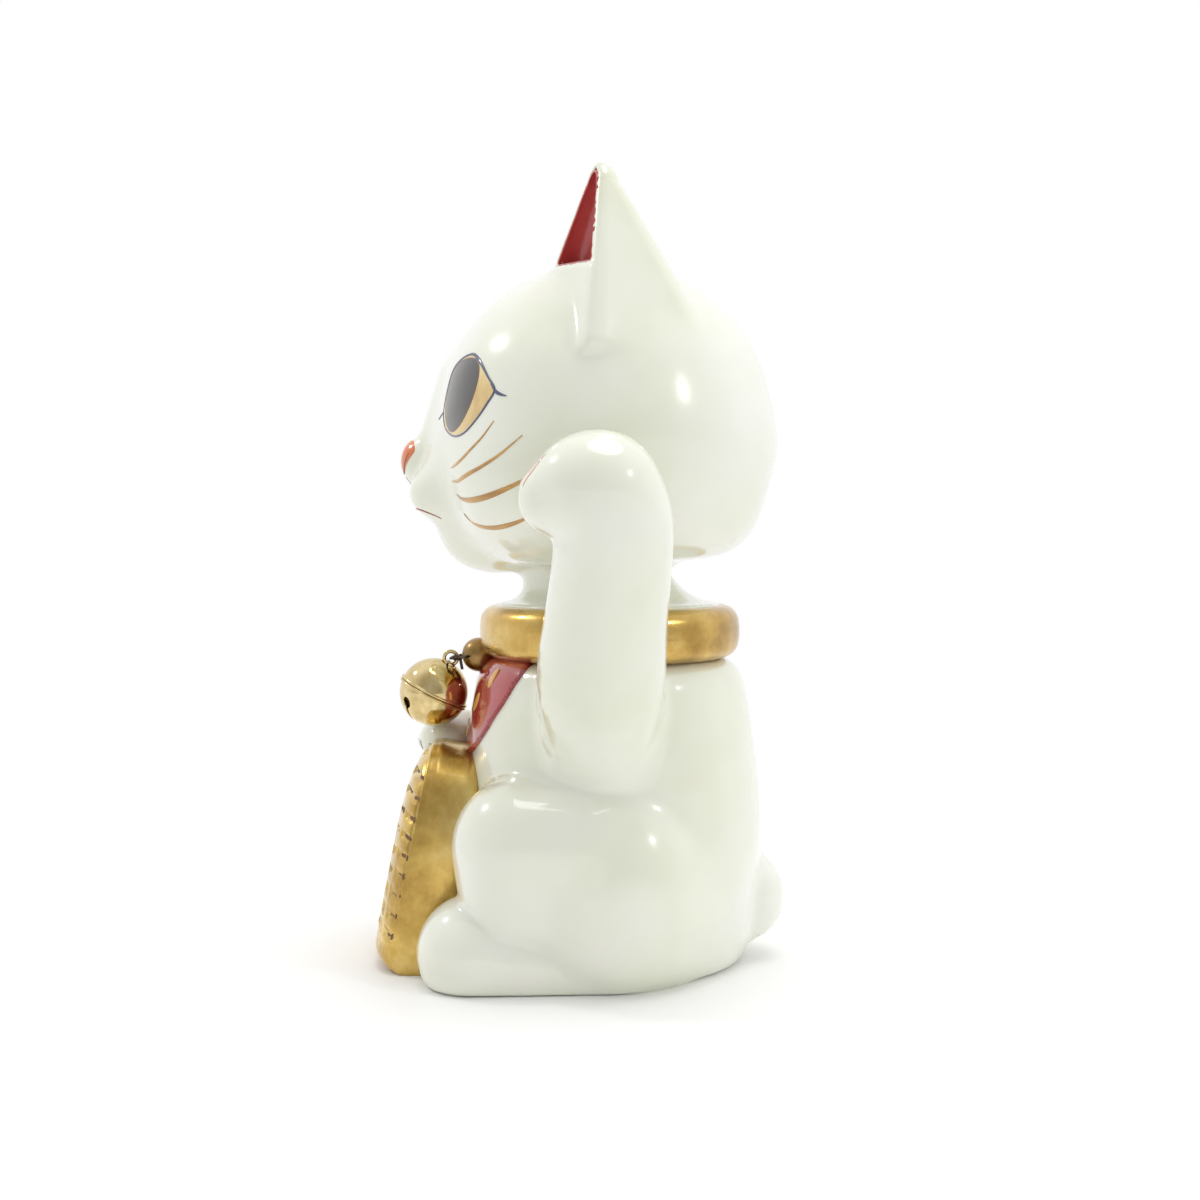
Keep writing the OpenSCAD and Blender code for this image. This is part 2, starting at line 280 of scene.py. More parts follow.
def torso_field(p):
    """Round torso with a tucked foot and rounded shoulders, standing flat and a little longer than wide."""
    q = (p - vec(0, axis_y + 0.75, 0)) * vec(1, 0.978, 1)
    rho = np.hypot(q[:, 0], q[:, 1])
    z = q[:, 2]
    belly_z = 22
    low = torso_r - 4.6 * np.clip((belly_z - z) / belly_z, 0, 1) ** 3
    high = torso_r - 4.2 * np.clip((z - belly_z) / (shoulder_z - belly_z), 0, 2) ** 2
    side = rho - np.where(z < belly_z, low, high)
    top = z - (collar_low[2] + 0.4)
    return smax(smax(side * 0.97, top, 7), -z, 1.2)


def raised_arm_field(p):
    """Left arm, from the shoulder up to the paw that curls forward."""
    tip = tuple(paw)
    arm = tube(p, [
        (24, 0.6, 46, 9.5), (28, 0.3, 57, 12.4), (32.5, 0.2, 68, 13.7), (37.5, 1.2, 80, 12.9),
        (42, 2.2, 90, 12.3), (tip[0] - 2.4, tip[1] + 2.2, tip[2] - 7, 12.2), (*tip, 11.9)])
    fist = limb(p, paw + vec(-0.6, -4, 0.4), paw + vec(-0.8, -9.4, -1.6), 10.2, 7.6)
    return smin(arm, fist, 3)


def resting_arm_field(p):
    """Right arm, bent across the chest to the paw on the coin."""
    arm = tube(p, [
        (-24, 0, 60, 12), (-31, -9, 47.5, 10.6), (-23, -25, 46, 8.8), (-15, -33, 48.2, 7)])
    hand = ellipsoid(p, vec(-9, -36.2, 49.2), vec(9, 7.4, 5.6))
    return smin(arm, hand, 4)


def leg_field(p):
    """Left leg: haunch at the side, raised knee, and a foot that points forward."""
    haunch = ellipsoid(p, vec(25, 2.5, 21), vec(17, 20, 24.5))
    knee = limb(p, vec(25.5, -17, 30.4), vec(27, -3, 30.6), 15.4, 14.4)
    shin = limb(p, vec(25, -17.5, 20), vec(25, -3, 18), 13.4, 13.8)
    upper = smin(smin(knee, shin, 4), haunch, 1.6)
    foot = limb(p, vec(25.5, -27.6, 7), vec(24, 2, 3), 12.6, 11)
    return smax(smin(upper, foot, 1.6), -p[:, 2], 1.2)


def tail_field(p):
    centre = vec((tail_low[0] + tail_high[0]) / 2, tail_high[1] - 10.8, tail_high[2] - 9.4)
    return ellipsoid(p, centre, vec(11, 11, 11))


def right_of(field):
    return lambda p: field(mirrored(p))


near_ear = within(ear_low - 4, ear_high + 2, ear_shell)
near_scoop = within(ear_low - 1, ear_high + 1, ear_scoop)
near_arm = within(arm_low - 2, arm_high + 2, raised_arm_field)
near_rest = within(rest_low - 3, rest_high + 3, resting_arm_field)
near_leg = within(leg_low - vec(8, 2, 2), leg_high + 2, leg_field)
near_tail = within(tail_low - vec(2, 6, 2), tail_high + 1, tail_field)
near_head = within(head_low, head_high + 1, face_field, 12)
near_neck = within(vec(-27, -25, 74), vec(27, 29, 102), neck_field)
near_torso = within(body_low, body_high, torso_field, 12)


def head_field(p):
    """Skull, muzzle, nose and both ears."""
    face = smin(near_head(p), near_neck(p), 3)
    for q in (p, mirrored(p)):
        face = smin(face, smax(near_ear(q), ear_front(q) - 0.2, 1.5), 1.8)
        face = smax(face, -near_scoop(q), 1.1)
    return face


def cat_field(p):
    """The whole glazed surface."""
    soft = 2.4 + 5.6 * np.clip((p[:, 1] + 4) / 22, 0, 1) * np.clip((34 - p[:, 2]) / 20, 0, 1)
    body = smin(near_torso(p), near_arm(p), 3.5)
    body = smin(body, near_leg(p), soft)
    body = smin(body, near_leg(mirrored(p)), soft)
    body = smin(body, near_rest(p), 1.8)
    body = smin(body, near_tail(p), 1.6)
    return smin(body, head_field(p), 0.6)


# Which casting each point of the glaze belongs to: the one whose own field is least
OWNERS = {
    "body_shell": near_torso,
    "head_shell": lambda p: np.minimum(near_head(p), near_neck(p)),
    "left_ear": near_ear,
    "right_ear": right_of(near_ear),
    "raised_arm": near_arm,
    "resting_arm": near_rest,
    "left_leg": near_leg,
    "right_leg": right_of(near_leg),
    "tail": near_tail,
}


# ---------------- polygonising

def normals_of(field, points, step=0.04):
    """Unit outward normals of a field."""
    corners = np.array([(1, -1, -1), (-1, -1, 1), (-1, 1, -1), (1, 1, 1)], float)
    out = np.zeros_like(points)
    for corner in corners:
        out += corner * field(points + corner * step)[:, None]
    return unit(out)


def settle(field, points, rounds=3):
    """Moves points onto the zero surface of a field, and gives their normals there."""
    normal = normals_of(field, points)
    for _ in range(rounds):
        points = points - normal * field(points)[:, None] * 0.95
    return points, normals_of(field, points)


def polygonise(field, low, high, voxel):
    """Quads on the zero surface of a field inside a box. Blocks far from it are skipped."""
    side = 4
    reach = side * voxel * 1.4 + voxel
    blocks = np.ceil((high - low) / voxel / side).astype(int) + 1
    index = np.indices(blocks).reshape(3, -1).T
    coarse = field(low + (index * side + (side - 1) / 2) * voxel)
    values = np.repeat(np.repeat(np.repeat(
        np.sign(coarse).reshape(blocks), side, 0), side, 1), side, 2).astype(np.float32) * 3 * voxel
    wanted = index[np.abs(coarse) < reach]
    offsets = np.indices((side,) * 3).reshape(3, -1).T
    for start in range(0, len(wanted), 4000):
        cells = (wanted[start:start + 4000, None] * side + offsets).reshape(-1, 3)
        values[cells[:, 0], cells[:, 1], cells[:, 2]] = field(low + cells * voxel)
    grid = openvdb.FloatGrid(background=float(voxel * 3))
    grid.copyFromArray(np.clip(values, -3 * voxel, 3 * voxel))
    points, quads = grid.convertToQuads(0.0)
    points, normal = settle(field, low + points.astype(float) * voxel)
    quads = quads.astype(int)
    a, b, d = points[quads[:, 0]], points[quads[:, 1]], points[quads[:, 3]]
    if (np.cross(b - a, d - a) * normal[quads[:, 0]]).sum() < 0:
        quads = quads[:, ::-1]
    return points, quads


def split_owners(points, faces, values):
    """Shares faces out: each point goes to its least value, and faces are cut where owners meet."""
    owner = values.argmin(0)
    kinds = owner[faces]
    whole = (kinds == kinds[:, :1]).all(1)
    shares = [[tuple(f) for f in faces[whole & (kinds[:, 0] == k)]] for k in range(len(values))]
    cuts, extra = {}, []
    for face in faces[~whole]:
        here = [int(owner[i]) for i in face]
        most = max(sorted(set(here)), key=here.count) if len(set(here)) > 2 else None
        loops = {k: [] for k in here}
        for j, a in enumerate(face):
            b = face[(j + 1) % len(face)]
            mine, other = here[j], here[(j + 1) % len(face)]
            loops[mine].append(int(a))
            if mine == other:
                continue
            low, high = min(a, b), max(a, b)
            if (low, high) not in cuts:
                gap = values[owner[low]] - values[owner[high]]
                t = gap[low] / (gap[low] - gap[high])
                extra.append(points[low] * (1 - t) + points[high] * t)
                cuts[(low, high)] = len(points) + len(extra) - 1
            for k in {mine, other, mine if most is None else most}:
                loops[k].append(cuts[(low, high)])
        for k, loop in loops.items():
            shares[k].append(tuple(loop))
    every = np.concatenate([points, np.array(extra).reshape(-1, points.shape[1])])
    out = []
    for share in shares:
        used = np.unique(np.array([i for f in share for i in f], int))
        renumber = np.full(len(every), -1)
        renumber[used] = np.arange(len(used))
        out.append((every[used], [tuple(renumber[list(f)]) for f in share]))
    return out


def clip_faces(points, faces, keep):
    """Cuts faces where the field keep changes sign, and keeps its negative side."""
    return split_owners(points, faces, np.array([keep, -keep]))[0]


def boundary_edges(faces):
    """Directed edges that only one face has."""
    seen = {}
    for face in faces:
        for a, b in zip(face, face[1:] + face[:1]):
            seen[(a, b)] = True
    return [e for e in seen if (e[1], e[0]) not in seen]


def grid_faces(rows, count, closed=False):
    """Quads between rings of count points each. closed joins the last ring to the first."""
    faces = []
    for i in range(rows if closed else rows - 1):
        j = (i + 1) % rows
        for k in range(count):
            q = (k + 1) % count
            faces.append((i * count + k, j * count + k, j * count + q, i * count + q))
    return faces


def tube_faces(rows, count, closed):
    """Faces of a tube through rings of count points, with flat ends unless it closes on itself."""
    faces = grid_faces(rows, count, closed)
    if not closed:
        faces.append(tuple(range(count)))
        faces.append(tuple((rows - 1) * count + k for k in reversed(range(count))))
    return faces


def ahead_of(path, closed):
    """Unit directions along a path of points."""
    ahead = np.roll(path, -1, axis=0) - np.roll(path, 1, axis=0)
    if not closed:
        ahead[0], ahead[-1] = path[1] - path[0], path[-1] - path[-2]
    return unit(ahead)


def join(parts):
    """One set of points and faces from several."""
    points, faces, base = [], [], 0
    for some_points, some_faces in parts:
        points.append(some_points)
        faces += [tuple(base + i for i in f) for f in some_faces]
        base += len(some_points)
    return np.concatenate(points), faces


def new_object(name, points, faces, material, body=cat, node=None, normals=None):
    """A piece from points in millimetres. normals gives one per face corner."""
    mesh = bpy.data.meshes.new(name)
    mesh.from_pydata((np.asarray(points) * MM).tolist(), [], [tuple(map(int, f)) for f in faces])
    mesh.update()
    mesh.polygons.foreach_set("use_smooth", [True] * len(mesh.polygons))
    if normals is not None:
        mesh.normals_split_custom_set(normals)
    mesh.materials.append(material)
    piece = bpy.data.objects.new(name, mesh)
    bpy.context.scene.collection.objects.link(piece)
    if node:
        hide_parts(node)
    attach(piece, body)
    return piece


def close_patch(name, outer, inner, faces, normal, material, node=None):
    """A closed solid between two copies of a patch, shaded by the outer surface's own normals."""
    count = len(outer)
    rim = boundary_edges(faces)
    all_faces = list(faces)
    all_faces += [tuple(count + i for i in reversed(f)) for f in faces]
    all_faces += [(b, a, count + a, count + b) for a, b in rim]
    every = np.concatenate([outer, inner])
    order = np.array([i for f in faces for i in f])
    back = np.array([i for f in faces for i in reversed(f)])
    corner = [normal[order], -normal[back]]
    if rim:
        a, b = np.array(rim).T
        across = unit(np.cross(every[a] - every[b], inner[a] - outer[a]))
        corner.append(np.repeat(across, 4, axis=0))
    return new_object(name, every, all_faces, material, node=node,
                      normals=np.concatenate(corner).tolist())


def shell(name, field, points, faces, wall, material, node=None, lift=0.0):
    """Closes a patch of a field's surface into a shell that is thinner where there is little room."""
    points, normal = settle(field, points, 1)
    depth = np.full(len(points), wall)
    for part in (0.5, 0.2):
        shallow = field(points - normal * depth[:, None]) > -0.8 * depth
        depth = np.where(shallow, wall * part, depth)
    return close_patch(name, points + normal * lift, points - normal * depth[:, None], faces, normal,
                       material, node=node)


def land(field, points, directions, steps=60):
    """Where rays from outside meet a field, and the normals there."""
    points = points.astype(float).copy()
    for _ in range(steps):
        points = points + directions * (field(points) * 0.75)[:, None]
    return points, normals_of(field, points)


def tidy_mesh(piece, distance=0.004):
    """Joins points that fall together and turns all faces outward."""
    mesh = bmesh.new()
    mesh.from_mesh(piece.data)
    bmesh.ops.remove_doubles(mesh, verts=mesh.verts, dist=distance * MM)
    bmesh.ops.dissolve_degenerate(mesh, edges=mesh.edges, dist=distance * MM)
    bmesh.ops.recalc_face_normals(mesh, faces=mesh.faces)
    mesh.to_mesh(piece.data)
    mesh.free()


# ---------------- painted details

SUNK = 0.12  # how far painted pieces reach into the surface
LIFT = 0.02  # height of their edges over it


def outline_distance(points, outline):
    """Signed distance in a plane from points to a closed outline, negative inside it."""
    nearest = np.full(len(points), 1e9)
    crossings = np.zeros(len(points), int)
    for a, b in zip(outline, np.roll(outline, -1, axis=0)):
        ab = b - a
        pa = points - a
        h = np.clip((pa @ ab) / max(ab @ ab, 1e-12), 0, 1)
        nearest = np.minimum(nearest, np.linalg.norm(pa - np.outer(h, ab), axis=1))
        spans = (a[1] > points[:, 1]) != (b[1] > points[:, 1])
        rise = ab[1] if ab[1] else 1e-12
        crossings += spans & (points[:, 0] < a[0] + (points[:, 1] - a[1]) / rise * ab[0])
    return np.where(crossings % 2 == 1, -nearest, nearest)


def grid_patch(outline, step):
    """Flat points and faces that fill an outline."""
    low, high = outline.min(0) - step, outline.max(0) + step
    u, v = np.arange(low[0], high[0], step), np.arange(low[1], high[1], step)
    uu, vv = np.meshgrid(u, v)
    n = len(u)
    corner = (np.arange(len(v) - 1)[:, None] * n + np.arange(n - 1)).ravel()
    quads = np.stack([corner, corner + 1, corner + n + 1, corner + n], 1)
    flat = np.stack([uu.ravel(), vv.ravel()], 1)
    return clip_faces(flat, quads, outline_distance(flat, outline))


def from_side(at, azimuth, field):
    """Maps (across, up) onto a field, looking at the place from an azimuth."""
    a = math.radians(azimuth)
    right, up = vec(math.cos(a), math.sin(a), 0), vec(0, 0, 1)
    out = vec(math.sin(a), -math.cos(a), 0)

    def place(flat):
        start = at + np.outer(flat[:, 0], right) + np.outer(flat[:, 1], up) + out * 12
        return land(field, start, -out[None])
    return place


def around(radius, centre, field):
    """Maps (arc length, height) onto a field, looking in at an upright axis from all round."""
    def place(flat):
        a = flat[:, 0] / radius
        d = np.stack([np.sin(a), -np.cos(a), np.zeros(len(a))], 1)
        start = centre + d * 60 + np.outer(flat[:, 1], vec(0, 0, 1))
        return land(field, start, -d)
    return place


def decal(name, place, knots, thick, material, step=0.3, edge=0.5, mirror=False, node=None,
          sunk=SUNK):
    """Raised patch with a smooth outline, laid on a surface."""
    outline = spline(knots, 8, closed=True)
    flat, faces = grid_patch(outline, step)
    points, normal = place(flat)
    near = np.clip(-outline_distance(flat, outline) / edge, 0, 1)
    height = LIFT + thick * np.sqrt(1 - (1 - near) ** 2)
    outer, inner = points + normal * height[:, None], points - normal * sunk
    if mirror:
        outer, inner, normal = mirrored(outer), mirrored(inner), mirrored(normal)
        faces = [tuple(reversed(f)) for f in faces]
    piece = close_patch(name, outer, inner, faces, normal, material, node=node)
    piece.data.shade_smooth()
    return piece


def drawn(place, knots, per=8, closed=False):
    """Points, normals and half widths along a curve through (first, second, half width)."""
    path = spline(knots, per, closed)
    points, normal = place(path[:, :2])
    return points, normal, path[:, 2]


def strokes(name, lines, thick, material, mirror=False, closed=False):
    """Raised brush strokes. Each line gives points, normals and half widths."""
    parts = []
    for points, normal, half in lines:
        side = unit(np.cross(normal, ahead_of(points, closed)))
        rings = []
        for k in np.linspace(-1, 1, 9):
            height = LIFT + thick * math.sqrt(1 - k * k)
            rings.append(points + side * (half * k)[:, None] + normal * height)
        for k in (0.8, -0.8):
            rings.append(points + side * (half * k)[:, None] - normal * SUNK)
        faces = tube_faces(len(points), len(rings), closed)
        parts.append((np.stack(rings, 1).reshape(-1, 3), faces))
    every, all_faces = join(parts)
    if mirror:
        every = mirrored(every)
    piece = new_object(name, every, all_faces, material)
    tidy_mesh(piece, 0.001)
    return piece


# ---------------- materials

def srgb(r, g, b):
    """Linear colour from 0 to 255 display values."""
    out = []
    for value in (r, g, b):
        v = value / 255
        out.append(v / 12.92 if v < 0.04045 else ((v + 0.055) / 1.055) ** 2.4)
    return (*out, 1)


def grey(value):
    return (value, value, value, 1)


def principled(name, **inputs):
    """A new material and its Principled shader with some inputs set."""
    material = bpy.data.materials.new(name)
    material.use_nodes = True
    shader = material.node_tree.nodes["Principled BSDF"]
    for key, value in inputs.items():
        shader.inputs[key.replace("_", " ")].default_value = value
    return material, shader


def add_node(tree, kind, **inputs):
    """A new shader node. Each input is set to a value, or linked to another node's output."""
    node = tree.nodes.new("ShaderNode" + kind)
    for key, value in inputs.items():
        socket = node.inputs[key.replace("_", " ")]
        if isinstance(value, bpy.types.NodeSocket):
            tree.links.new(value, socket)
        else:
            socket.default_value = value
    return node


def noise(tree, scale, detail=3.0, roughness=0.5, stretch=(1, 1, 1)):
    """Noise in object coordinates, with scale in features per metre."""
    where = add_node(tree, "TexCoord").outputs["Object"]
    mapped = add_node(tree, "Mapping", Vector=where, Scale=stretch).outputs["Vector"]
    texture = add_node(tree, "TexNoise", Vector=mapped, Scale=scale, Detail=detail, Roughness=roughness)
    return texture.outputs["Fac"]


def ramp(tree, factor, target, stops):
    """Colour ramp over a factor, linked to the target input. stops are (position, colour)."""
    node = add_node(tree, "ValToRGB", Fac=factor)
    elements = node.color_ramp.elements
    while len(elements) < len(stops):
        elements.new(0.5)
    for element, (position, colour) in zip(elements, stops):
        element.position = position
        element.color = colour
    tree.links.new(node.outputs["Color"], target)


def bump(tree, shader, height, distance, strength=1.0):
    """Adds a bump in metres under everything that is already linked."""
    node = add_node(tree, "Bump", Height=height, Distance=distance, Strength=strength)
    if shader.inputs["Normal"].links:
        tree.links.new(shader.inputs["Normal"].links[0].from_socket, node.inputs["Normal"])
    tree.links.new(node.outputs["Normal"], shader.inputs["Normal"])


def glaze_material():
    """Clear gloss over an ivory body that is a little uneven in tint and in surface."""
    material, shader = principled("ivory_glaze", Roughness=0.2, Coat_Weight=1.0, Coat_Roughness=0.03,
                                  Coat_IOR=1.5, IOR=1.45)
    tree = material.node_tree
    ramp(tree, noise(tree, 26, 3.0, 0.55), shader.inputs["Base Color"], [
        (0.30, srgb(227, 229, 207)), (0.50, srgb(233, 235, 219)), (0.66, srgb(237, 238, 227)),
        (0.80, srgb(241, 241, 235))])
    bump(tree, shader, noise(tree, 40, 1.0), 0.0004, 0.22)
    return material


def gold_material(name, dark, mid, light, rough=0.26, stretch=(1, 1, 0.25)):
    """Fired gold lustre: metallic, with brushed streaks and thinner, browner patches."""
    material, shader = principled(name, Metallic=1.0, Coat_Weight=0.5, Coat_Roughness=0.1)
    tree = material.node_tree
    ramp(tree, noise(tree, 70, 5.0, 0.62), shader.inputs["Base Color"], [
        (0.28, srgb(*dark)), (0.5, srgb(*mid)), (0.72, srgb(*light))])
    ramp(tree, noise(tree, 200, 4.0, 0.6, stretch), shader.inputs["Roughness"], [
        (0.3, grey(rough - 0.07)), (0.7, grey(rough + 0.13))])
    bump(tree, shader, noise(tree, 900, 3.0, 0.6, stretch), 0.00006, 0.6)
    bump(tree, shader, noise(tree, 110, 2.0), 0.0002, 0.35)
    return material


def enamel_material(name, dark, light, rough=0.18, scale=160, coat=0.8, stretch=(1, 1, 0.5)):
    """Painted overglaze colour, brushed on unevenly, with a gloss of its own."""
    material, shader = principled(name, Roughness=rough, Coat_Weight=coat, Coat_Roughness=0.04)
    tree = material.node_tree
    ramp(tree, noise(tree, scale, 4.0, 0.6, stretch), shader.inputs["Base Color"], [
        (0.3, srgb(*dark)), (0.7, srgb(*light))])
    bump(tree, shader, noise(tree, scale * 3, 2.0), 0.00003, 0.5)
    return material


def brass_material():
    """Polished lacquered brass with faint fingering and tiny scratches."""
    material, shader = principled("polished_brass", Metallic=1.0, Coat_Weight=0.2, Coat_Roughness=0.03)
    tree = material.node_tree
    ramp(tree, noise(tree, 260, 4.0, 0.6), shader.inputs["Base Color"], [
        (0.25, srgb(186, 160, 100)), (0.55, srgb(222, 200, 146)), (0.8, srgb(240, 224, 180))])
    ramp(tree, noise(tree, 400, 5.0, 0.7), shader.inputs["Roughness"], [
        (0.35, grey(0.04)), (0.75, grey(0.14))])
    bump(tree, shader, noise(tree, 2500, 2.0, 0.5, (1, 0.1, 1)), 0.00001, 0.4)
    return material


def metal_material(name, dark, light, rough):
    """Bare metal with a dull, slightly patchy surface."""
    material, shader = principled(name, Metallic=0.95)
    tree = material.node_tree
    ramp(tree, noise(tree, 600), shader.inputs["Base Color"], [(0.3, srgb(*dark)), (0.7, srgb(*light))])
    ramp(tree, noise(tree, 900), shader.inputs["Roughness"], [(0.3, grey(rough)), (0.7, grey(rough + 0.2))])
    return material


glaze = glaze_material()
band_gold = gold_material("gold_lustre", (160, 122, 52), (204, 168, 88), (232, 204, 132), 0.26, (0.3, 0.3, 1))
coin_gold = gold_material("coin_gold", (164, 126, 50), (208, 174, 92), (236, 210, 138), 0.28)
boss_gold = gold_material("boss_gold", (120, 92, 50), (168, 132, 74), (204, 170, 108), 0.3)
eye_gold = enamel_material("eye_gold", (196, 152, 70), (248, 228, 164), 0.16, 110, 1.0)
brass = brass_material()
wire_metal = metal_material("dark_wire", (62, 52, 46), (118, 102, 90), 0.28)
steel = metal_material("pellet_steel", (120, 118, 116), (160, 158, 154), 0.25)
ear_red = enamel_material("ear_red", (184, 70, 68), (204, 96, 92), 0.3, 120, 0.5)
bib_red = enamel_material("bib_red", (158, 42, 46), (182, 66, 68), 0.14, 130, 1.0)
dot_gold = enamel_material("dot_gold", (214, 156, 66), (236, 192, 110), 0.25)
navy = enamel_material("navy_line", (44, 50, 82), (74, 82, 114), 0.22)
pupil_black = enamel_material("pupil_black", (30, 26, 24), (58, 52, 46), 0.06, 90, 1.0)
nose_orange = enamel_material("nose_orange", (214, 112, 52), (230, 142, 84), 0.18, 150)
# painted shade: this dark brown goes in the coin's punched slots and stands in for the shade in them
painted_slot_shade = enamel_material("painted_slot_shade", (78, 50, 20), (124, 84, 36), 0.6, coat=0.05)
line_brown = enamel_material("line_brown", (96, 50, 34), (128, 76, 54), 0.3)
amber = enamel_material("amber_line", (150, 98, 30), (208, 160, 78), 0.28, 300, 0.8, (0.2, 0.2, 1))
mouth_red = enamel_material("mouth_line", (142, 66, 46), (170, 96, 72), 0.3)
blush = enamel_material("blush_line", (216, 160, 140), (228, 184, 166), 0.3)


# ---------------- ceramic shells

GLAZE_WALL = 2.4
LINING_WALL, LINING_LIFT = 0.15, 0.17


def build_ceramic():
    """Polygonises the glazed surface and cuts it into the castings, and leaves out what the collar hides."""
    voxel = 0.8
    low = np.minimum(np.minimum(head_low, body_low), vec(rest_low[0], leg_low[1], 0)) - 4
    high = np.maximum(np.maximum(arm_high, ear_high), tail_high) + 4
    points, quads = polygonise(cat_field, low, high, voxel)
    values = [field(points) for field in OWNERS.values()]
    head = values[list(OWNERS).index("head_shell")]
    over_collar = points[:, 2] - (collar_high[2] - 1.2)
    values.append(head + np.clip(over_collar * 2, -0.6, 50))
    for name, (patch_points, patch_faces) in zip(OWNERS, split_owners(points, quads, np.array(values))):
        shell(name, cat_field, patch_points, patch_faces, GLAZE_WALL, glaze, node=name)


def build_ear_linings():
    """Red enamel inside each ear, stopping a little short of the rim."""
    low, high = ear_tip - vec(20, 16, 22), ear_tip + vec(14, 14, 6)
    points, quads = polygonise(ear_hollow, low, high, 0.42)
    inset = smax(ear_shell(points) + 0.6, ear_front(points) + 0.4, 0.5)
    keep = smax(inset, 0.25 - ear_lip(points), 0.5)
    points, faces = clip_faces(points, quads[:, ::-1], keep)
    sides = {
        "left_ear_lining": (lambda p: -ear_hollow(p), points, faces),
        "right_ear_lining": (lambda p: -ear_hollow(mirrored(p)), mirrored(points),
                             [tuple(reversed(f)) for f in faces]),
    }
    for name, (wall, at, own_faces) in sides.items():
        shell(name, wall, at, own_faces, LINING_WALL, ear_red, lift=LINING_LIFT)


build_ceramic()
build_ear_linings()


# ---------------- face and paws

EYE_OUTLINE = [
    (2, 8.7), (-2.7, 8), (-6.1, 6), (-7.5, 2.2), (-8.4, -3), (-6.6, -6.6), (-3, -8.4), (1, -9), (5, -8.2),
    (8.6, -5.6), (11.2, -2.6), (12.9, 0.2), (10.4, 3), (7.5, 5.8), (5, 7.6)]
PUPIL_OUTLINE = [
    (0.5, 7.9), (-3.6, 7.2), (-6.1, 5), (-7, 1), (-7.2, -2.6), (-5.8, -5.6), (-3.4, -7.5), (-0.6, -7.8),
    (2.4, -6.4), (4.5, -4.1), (6, -1.6), (6.9, 1.2), (7.1, 4), (6.1, 6.4), (3.8, 7.6)]


def build_eyes():
    """Gold iris, glassy pupil, and a navy outline that ends in two lashes."""
    middle, azimuth, iris_thick = skull + vec(23.9, -32.8, 2.5), 37.5, 0.1
    place = from_side(middle, azimuth, face_field)
    raised = from_side(middle, azimuth, lambda p: face_field(p) - iris_thick)
    line = [(x, y, 0.42 if y > 3 else 0.24 if y < -4 else 0.3) for x, y in EYE_OUTLINE]
    rim = [(x, y, 0.14) for x, y in PUPIL_OUTLINE]
    outer_lash = [(11.6, 1.7, 0.3), (13.2, -0.1, 0.42), (14.8, -0.9, 0.34), (16.4, -1.3, 0.12)]
    inner_lash = [(-8.2, -1.6, 0.2), (-8.6, -3, 0.34), (-10.2, -3.6, 0.3), (-12.2, -4.5, 0.1)]
    for side, mirror in (("left", False), ("right", True)):
        decal(side + "_iris", place, EYE_OUTLINE, iris_thick, eye_gold, 0.3, 0.4, mirror)
        decal(side + "_pupil", raised, PUPIL_OUTLINE, 0.16, pupil_black, 0.3, 1.4, mirror)
        pupil_rim, eye_line = drawn(raised, rim, 6, True), drawn(place, line, 6, True)
        strokes(side + "_pupil_rim", [pupil_rim], 0.08, line_brown, mirror, True)
        strokes(side + "_eye_line", [eye_line], 0.2, navy, mirror, True)
        lashes = [drawn(place, outer_lash), drawn(place, inner_lash)]
        strokes(side + "_lashes", lashes, 0.16, navy, mirror)


def build_face():
    """Whiskers, nose and mouth. Whiskers and mouth are laid out in degrees round the head."""
    radius = 40
    per_degree = math.pi / 180 * radius
    place = around(radius, skull, face_field)
    whiskers = [
        [(34, -13.2, 0.15), (38.5, -12.6, 0.36), (43.5, -11.3, 0.4), (48.5, -9.2, 0.34), (52.5, -7, 0.26),
         (56.2, -3.9, 0.1)],
        [(33.2, -16.1, 0.18), (39, -16.2, 0.4), (45.5, -15.1, 0.5), (53, -13.4, 0.42), (59.5, -11, 0.32),
         (66.4, -7.2, 0.12)],
        [(35.2, -19, 0.15), (40, -20.1, 0.45), (47, -20.4, 0.66), (55, -19.6, 0.66), (63, -17.7, 0.5),
         (71, -15, 0.14)],
        [(36.8, -23.2, 0.12), (40, -24.8, 0.32), (45.5, -26, 0.52), (53, -26.3, 0.6), (61, -25.4, 0.5),
         (69, -23.4, 0.14)]]
    lines = []
    for knots in whiskers:
        lines.append(drawn(place, [((a - 0.8) * per_degree, z, w) for a, z, w in knots]))
    for side, mirror in (("left", False), ("right", True)):
        strokes(side + "_whiskers", lines, 0.14, amber, mirror)
    nose = from_side(skull + vec(0, -43, -10), 0, face_field)
    half = [(2.6, 3.7), (4.5, 1.5), (4.1, -1), (2.3, -3.3)]
    outline = [(0, 4.1)] + half + [(0, -4)] + [(-x, y) for x, y in reversed(half)]
    decal("nose", nose, outline, 0.14, nose_orange, 0.25, 0.5)
    nostrils = []
    for s in (-1, 1):
        knots = [(4, 0.9, 0.1), (3.6, -0.9, 0.28), (2.4, -2.9, 0.2), (1, -3.8, 0.08)]
        nostrils.append(drawn(nose, [(s * x, y, w) for x, y, w in knots]))
    strokes("nostril_lines", nostrils, 0.2, line_brown)
    mouth = [drawn(place, [(0, -14.4, 0.16), (0, -16.6, 0.24), (0, -18.8, 0.2)])]
    for s in (-1, 1):
        knots = [(0, -18.3, 0.14), (3.5, -20.8, 0.26), (8, -21.9, 0.3), (12, -22.1, 0.3), (15, -22.9, 0.26),
                 (17.5, -24.2, 0.08)]
        mouth.append(drawn(place, [(s * a * per_degree, z, w) for a, z, w in knots]))
    strokes("mouth_lines", mouth, 0.12, mouth_red)


def paw_lines(centre, field, steps, knots, far, lean=0.0):
    """Lines over the front of a paw, side by side, each through (degrees up from the front, half width)."""
    lines = []
    for dx in steps:
        rows = spline(knots, 6)
        a = np.radians(rows[:, 0])
        d = np.stack([np.full(len(a), lean), -np.cos(a), np.sin(a)], 1)
        points, normal = land(field, centre + vec(dx, 0, 0) + d * far, -d)
        lines.append((points, normal, rows[:, 1]))
    return lines


